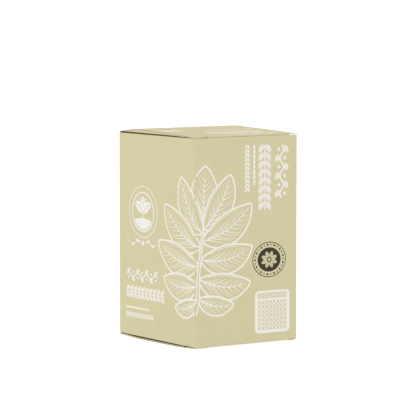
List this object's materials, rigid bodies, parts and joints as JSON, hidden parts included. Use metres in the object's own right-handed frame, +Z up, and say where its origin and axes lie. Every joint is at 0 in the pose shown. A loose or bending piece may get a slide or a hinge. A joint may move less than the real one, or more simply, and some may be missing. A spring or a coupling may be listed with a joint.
{
  "type": "mushroom grow kit carton",
  "caption": "Upright folding carton of printed card with a tuck-in lid and a bowed base, holding a bagged block of mushroom substrate.",
  "frame": {"origin": "on the table under the middle of the standing carton", "axes": "+Z up; the front wall, behind which the lid tucks in, faces -Y; the lid's hinge runs along X at +Y"},
  "size_m": [0.129, 0.144, 0.2224],
  "materials": {
    "printed_card": "matte printed board",
    "substrate": "rough, grown through",
    "film": "clear film",
    "filter": "matte"
  },
  "bodies": {
    "carton": {"sleeve": "printed_card", "bottom_lid": "printed_card", "bottom_tuck_flap": "printed_card", "bottom_dust_left": "printed_card", "bottom_dust_right": "printed_card", "substrate_block": "substrate", "grow_bag": "film", "bag_fold": "film", "filter_patch": "filter"},
    "top_lid": {"lid": "printed_card"},
    "tuck": {"tuck_flap": "printed_card"},
    "left_dust_flap": {"dust_flap_left": "printed_card"},
    "right_dust_flap": {"dust_flap_right": "printed_card"}
  },
  "joints": [
    {"name": "lid_crease", "type": "hinge", "parent": "carton", "child": "top_lid", "pos_m": [0, 0.072, 0.2179], "axis": [-1, 0, 0], "range_deg": [0, 180]},
    {"name": "tuck_crease", "type": "hinge", "parent": "top_lid", "child": "tuck", "pos_m": [0, -0.071, 0.2173], "axis": [-1, 0, 0], "range_deg": [0, 63]},
    {"name": "left_flap_crease", "type": "hinge", "parent": "carton", "child": "left_dust_flap", "pos_m": [-0.06415, 0, 0.2177], "axis": [0, -1, 0], "range_deg": [0, 99]},
    {"name": "right_flap_crease", "type": "hinge", "parent": "carton", "child": "right_dust_flap", "pos_m": [0.06415, 0, 0.2177], "axis": [0, 1, 0], "range_deg": [0, 99]}
  ],
  "couplings": [
    {"joint": "tuck_crease", "follows": "lid_crease", "ratio": 0.35},
    {"joint": "left_flap_crease", "follows": "lid_crease", "ratio": 0.55},
    {"joint": "right_flap_crease", "follows": "lid_crease", "ratio": 0.55}
  ]
}
